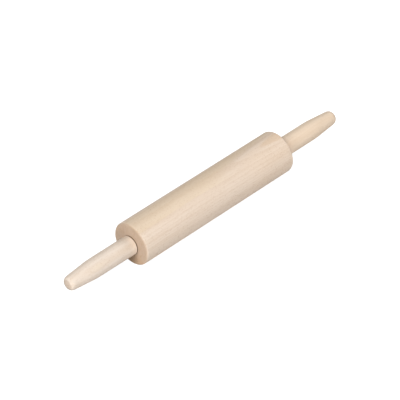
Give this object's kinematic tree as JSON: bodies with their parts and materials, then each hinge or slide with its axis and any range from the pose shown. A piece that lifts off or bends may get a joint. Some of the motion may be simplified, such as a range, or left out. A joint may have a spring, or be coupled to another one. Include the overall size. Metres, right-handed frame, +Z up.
{
  "type": "rolling pin",
  "caption": "Wooden rolling pin with a plain turned barrel that spins freely on a hidden steel axle between slim, tapered, round-tipped handles.",
  "frame": {"origin": "under the middle of the barrel, on the surface that the barrel lies on", "axes": "+X along the axle towards handle_right, +Z up from the surface, +Y completes the right-handed frame"},
  "size_m": [0.407, 0.05, 0.05],
  "materials": {
    "barrel_beech": "fine sanded, unlacquered",
    "handle_beech": "fine sanded, unlacquered",
    "axle_steel": "bright drawn",
    "washer_steel": "zinc plated",
    "bush_nylon": "moulded, natural white"
  },
  "bodies": {
    "handles": {"axle": "axle_steel", "thrust_washer_left": "washer_steel", "thrust_washer_right": "washer_steel", "handle_left": "handle_beech", "handle_right": "handle_beech"},
    "barrel": {"barrel": "barrel_beech", "bearing_bush_left": "bush_nylon", "bearing_bush_right": "bush_nylon"}
  },
  "joints": [
    {"name": "barrel_spin", "type": "hinge", "parent": "handles", "child": "barrel", "pos_m": [0, 0, 0.025], "axis": [1, 0, 0], "continuous": true}
  ]
}
